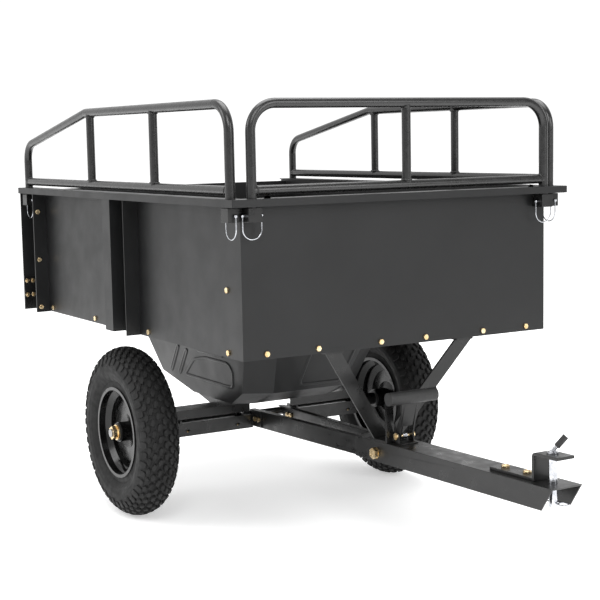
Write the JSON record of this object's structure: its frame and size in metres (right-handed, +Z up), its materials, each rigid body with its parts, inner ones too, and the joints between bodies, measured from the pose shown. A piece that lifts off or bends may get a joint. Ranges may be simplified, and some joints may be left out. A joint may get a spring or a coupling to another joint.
{
  "type": "tow behind dump cart",
  "caption": "Two wheeled tow behind cart with a tipping steel bed, sunken floor, lift-out rails, sliding tailgate, latch lever and a clevis pin hitch.",
  "frame": {"origin": "on the ground under the middle of the cart's overall length and width", "axes": "+Z up, -Y towards the hitch and the towing machine, +X completing a right handed set"},
  "size_m": [0.838, 1.6724, 0.9569],
  "materials": {
    "frame_steel": "satin black powder coat",
    "bed_steel": "satin charcoal powder coat",
    "rail_steel": "semi-gloss black powder coat",
    "rim_paint": "gloss black paint",
    "tyre_rubber": "knobby black rubber",
    "bush_plastic": "moulded grey nylon",
    "gold_zinc": "yellow zinc plate",
    "bright_zinc": "bright zinc plate",
    "shaft_steel": "drawn steel bar",
    "grip_vinyl": "dipped black vinyl"
  },
  "bodies": {
    "chassis": {"tongue_channel": "frame_steel", "tongue_rails": "frame_steel", "tongue_bolt": "gold_zinc", "axle_shaft": "shaft_steel", "axle_bracket_left": "frame_steel", "axle_bracket_right": "frame_steel", "chassis_bolts": "gold_zinc", "axle_sleeves": "frame_steel", "hub_washers": "gold_zinc", "axle_nuts": "gold_zinc", "hitch_bracket": "frame_steel", "hitch_bolts": "gold_zinc", "lever_base": "frame_steel", "lever_pivot": "gold_zinc", "lever_spring": "bright_zinc"},
    "wheel_left": {"tyre_left": "tyre_rubber", "rim_disc_left": "rim_paint", "hub_left": "rim_paint", "hub_bushes_left": "bush_plastic"},
    "wheel_right": {"tyre_right": "tyre_rubber", "rim_disc_right": "rim_paint", "hub_right": "rim_paint", "hub_bushes_right": "bush_plastic"},
    "bed": {"floor_pan": "bed_steel", "bed_saddle_left": "frame_steel", "bed_saddle_right": "frame_steel", "front_panel": "bed_steel", "side_panel_front_left": "bed_steel", "side_panel_front_right": "bed_steel", "side_panel_rear_left": "bed_steel", "side_panel_rear_right": "bed_steel", "mid_post_left": "bed_steel", "mid_post_right": "bed_steel", "rear_post_left": "bed_steel", "rear_post_right": "bed_steel", "rear_post_plates": "frame_steel", "rim_front": "bed_steel", "rim_left": "bed_steel", "rim_right": "bed_steel", "rail_front": "rail_steel", "rail_left": "rail_steel", "rail_right": "rail_steel", "rail_sockets": "frame_steel", "tailgate_guides": "bed_steel", "strut_left": "frame_steel", "strut_right": "frame_steel", "strut_foot": "frame_steel", "panel_bolts": "gold_zinc"},
    "tailgate": {"tailgate": "bed_steel"},
    "latch_lever": {"latch_lever": "frame_steel", "lever_grip": "grip_vinyl"},
    "hitch_pin": {"hitch_pin": "bright_zinc", "pin_grip": "grip_vinyl"},
    "hairpin": {"hairpin": "bright_zinc"},
    "lock_pin_front_left": {"lock_pin_front_left": "bright_zinc"},
    "lock_pin_front_right": {"lock_pin_front_right": "bright_zinc"},
    "lock_pin_side_left_front": {"lock_pin_side_left_front": "bright_zinc"},
    "lock_pin_side_left_rear": {"lock_pin_side_left_rear": "bright_zinc"},
    "lock_pin_side_right_front": {"lock_pin_side_right_front": "bright_zinc"},
    "lock_pin_side_right_rear": {"lock_pin_side_right_rear": "bright_zinc"}
  },
  "joints": [
    {"name": "wheel_left_spin", "type": "hinge", "parent": "chassis", "child": "wheel_left", "pos_m": [-0.363, 0.28119, 0.2], "axis": [1, 0, 0], "continuous": true},
    {"name": "wheel_right_spin", "type": "hinge", "parent": "chassis", "child": "wheel_right", "pos_m": [0.363, 0.28119, 0.2], "axis": [1, 0, 0], "continuous": true},
    {"name": "bed_tip", "type": "hinge", "parent": "chassis", "child": "bed", "pos_m": [0, 0.28119, 0.2], "axis": [-1, 0, 0], "range_deg": [0, 40]},
    {"name": "tailgate_lift", "type": "slide", "parent": "bed", "child": "tailgate", "axis": [0, 0, 1], "range_m": [0, 0.25]},
    {"name": "latch_swing", "type": "hinge", "parent": "chassis", "child": "latch_lever", "pos_m": [0, -0.32397, 0.24815], "axis": [1, 0, 0], "range_deg": [0, 25], "stiffness_Nm_per_rad": 1.5, "springref_deg": -20.05},
    {"name": "hitch_pin_lift", "type": "slide", "parent": "chassis", "child": "hitch_pin", "axis": [0, 0.0201, 0.9998], "range_m": [0, 0.025]},
    {"name": "hairpin_pull", "type": "slide", "parent": "hitch_pin", "child": "hairpin", "axis": [0, -0.9998, 0.0201], "range_m": [0, 0.03]},
    {"name": "lock_pin_front_left_swing", "type": "hinge", "parent": "bed", "child": "lock_pin_front_left", "pos_m": [-0.366, -0.34281, 0.731], "axis": [-1, 0, 0], "range_deg": [0, 100]},
    {"name": "lock_pin_front_right_swing", "type": "hinge", "parent": "bed", "child": "lock_pin_front_right", "pos_m": [0.366, -0.34281, 0.731], "axis": [-1, 0, 0], "range_deg": [0, 100]},
    {"name": "lock_pin_side_left_front_swing", "type": "hinge", "parent": "bed", "child": "lock_pin_side_left_front", "pos_m": [-0.401, -0.32081, 0.731], "axis": [0, 1, 0], "range_deg": [0, 100]},
    {"name": "lock_pin_side_left_rear_swing", "type": "hinge", "parent": "bed", "child": "lock_pin_side_left_rear", "pos_m": [-0.401, 0.80019, 0.731], "axis": [0, 1, 0], "range_deg": [0, 100]},
    {"name": "lock_pin_side_right_front_swing", "type": "hinge", "parent": "bed", "child": "lock_pin_side_right_front", "pos_m": [0.401, -0.32081, 0.731], "axis": [0, -1, 0], "range_deg": [0, 100]},
    {"name": "lock_pin_side_right_rear_swing", "type": "hinge", "parent": "bed", "child": "lock_pin_side_right_rear", "pos_m": [0.401, 0.80019, 0.731], "axis": [0, -1, 0], "range_deg": [0, 100]}
  ]
}
